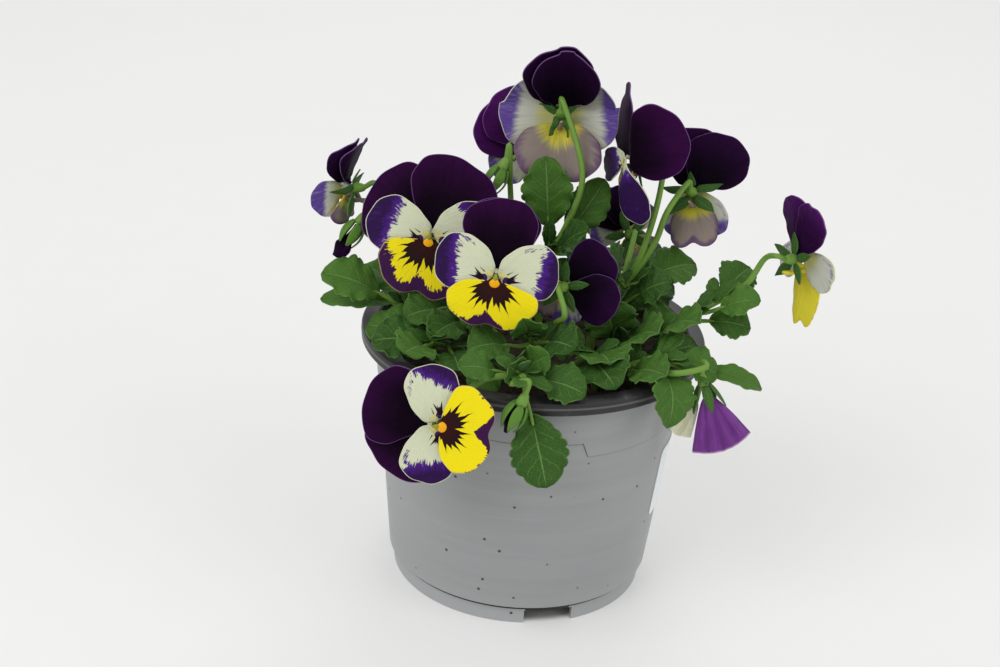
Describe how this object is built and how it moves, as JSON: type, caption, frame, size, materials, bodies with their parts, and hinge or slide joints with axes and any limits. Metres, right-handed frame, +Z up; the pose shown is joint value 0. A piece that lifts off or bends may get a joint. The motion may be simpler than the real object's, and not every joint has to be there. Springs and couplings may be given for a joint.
{
  "type": "potted horned violet",
  "caption": "Horned violet in bloom in a round grower's pot, for patios, balconies and garden tables.",
  "frame": {"origin": "centre of the flat pad in the middle of the pot's underside, in the plane that the pot stands on", "axes": "+Z up, and -Y towards the side where the front blooms face"},
  "size_m": [0.1554, 0.1186, 0.1656],
  "materials": {
    "grey_plastic": "thin thermoformed grey plastic, satin, with faint bands and specks of soil",
    "soil_brown": "crumbly dark peat soil",
    "label_white": "blank white label, smooth",
    "leaf_green": "living leaf and stem, mid green, slightly glossy, paler veins",
    "upper_purple": "velvety petal, near-black purple with a magenta sheen",
    "side_cream": "silky petal, cream with violet at the tips and dark whiskers at the base",
    "lower_yellow": "silky petal, lemon yellow with a maroon rayed blotch and purple edge",
    "wilted_magenta": "limp crumpled petal, magenta purple"
  },
  "bodies": {
    "root": {"blank_label": "label_white", "bloom_behind_lower_petal": "lower_yellow", "bloom_behind_side_petals": "side_cream", "bloom_behind_upper_petals": "upper_purple", "bloom_facing_away_lower_petal": "lower_yellow", "bloom_facing_away_side_petals": "side_cream", "bloom_facing_away_upper_petals": "upper_purple", "bloom_facing_left_lower_petal": "lower_yellow", "bloom_facing_left_side_petals": "side_cream", "bloom_facing_left_upper_petals": "upper_purple", "bloom_far_left_lower_petal": "lower_yellow", "bloom_far_left_side_petals": "side_cream", "bloom_far_left_upper_petals": "upper_purple", "bloom_far_right_lower_petal": "lower_yellow", "bloom_far_right_side_petals": "side_cream", "bloom_far_right_upper_petals": "upper_purple", "bloom_front_left_lower_petal": "lower_yellow", "bloom_front_left_side_petals": "side_cream", "bloom_front_left_upper_petals": "upper_purple", "bloom_front_lower_petal": "lower_yellow", "bloom_front_side_petals": "side_cream", "bloom_front_upper_petals": "upper_purple", "bloom_right_back_lower_petal": "lower_yellow", "bloom_right_back_side_petals": "side_cream", "bloom_right_back_upper_petals": "upper_purple", "bloom_rim_lower_petal": "lower_yellow", "bloom_rim_side_petals": "side_cream", "bloom_rim_upper_petals": "upper_purple", "bloom_top_left_lower_petal": "lower_yellow", "bloom_top_left_side_petals": "side_cream", "bloom_top_left_upper_petals": "upper_purple", "bloom_top_lower_petal": "lower_yellow", "bloom_top_side_petals": "side_cream", "bloom_top_upper_petals": "upper_purple", "bloom_wilted_crumpled_petals": "wilted_magenta", "bloom_wilted_limp_petal": "side_cream", "bud_dark_furled_petals": "upper_purple", "bud_hanging_furled_petals": "upper_purple", "pot": "grey_plastic", "soil": "soil_brown", "stem_back": "leaf_green", "stem_back_centre": "leaf_green", "stem_back_left": "leaf_green", "stem_back_right": "leaf_green", "stem_centre": "leaf_green", "stem_centre_left": "leaf_green", "stem_centre_right": "leaf_green", "stem_front": "leaf_green", "stem_front_left": "leaf_green", "stem_left": "leaf_green", "stem_right": "leaf_green", "stem_right_front": "leaf_green"}
  },
  "joints": []
}
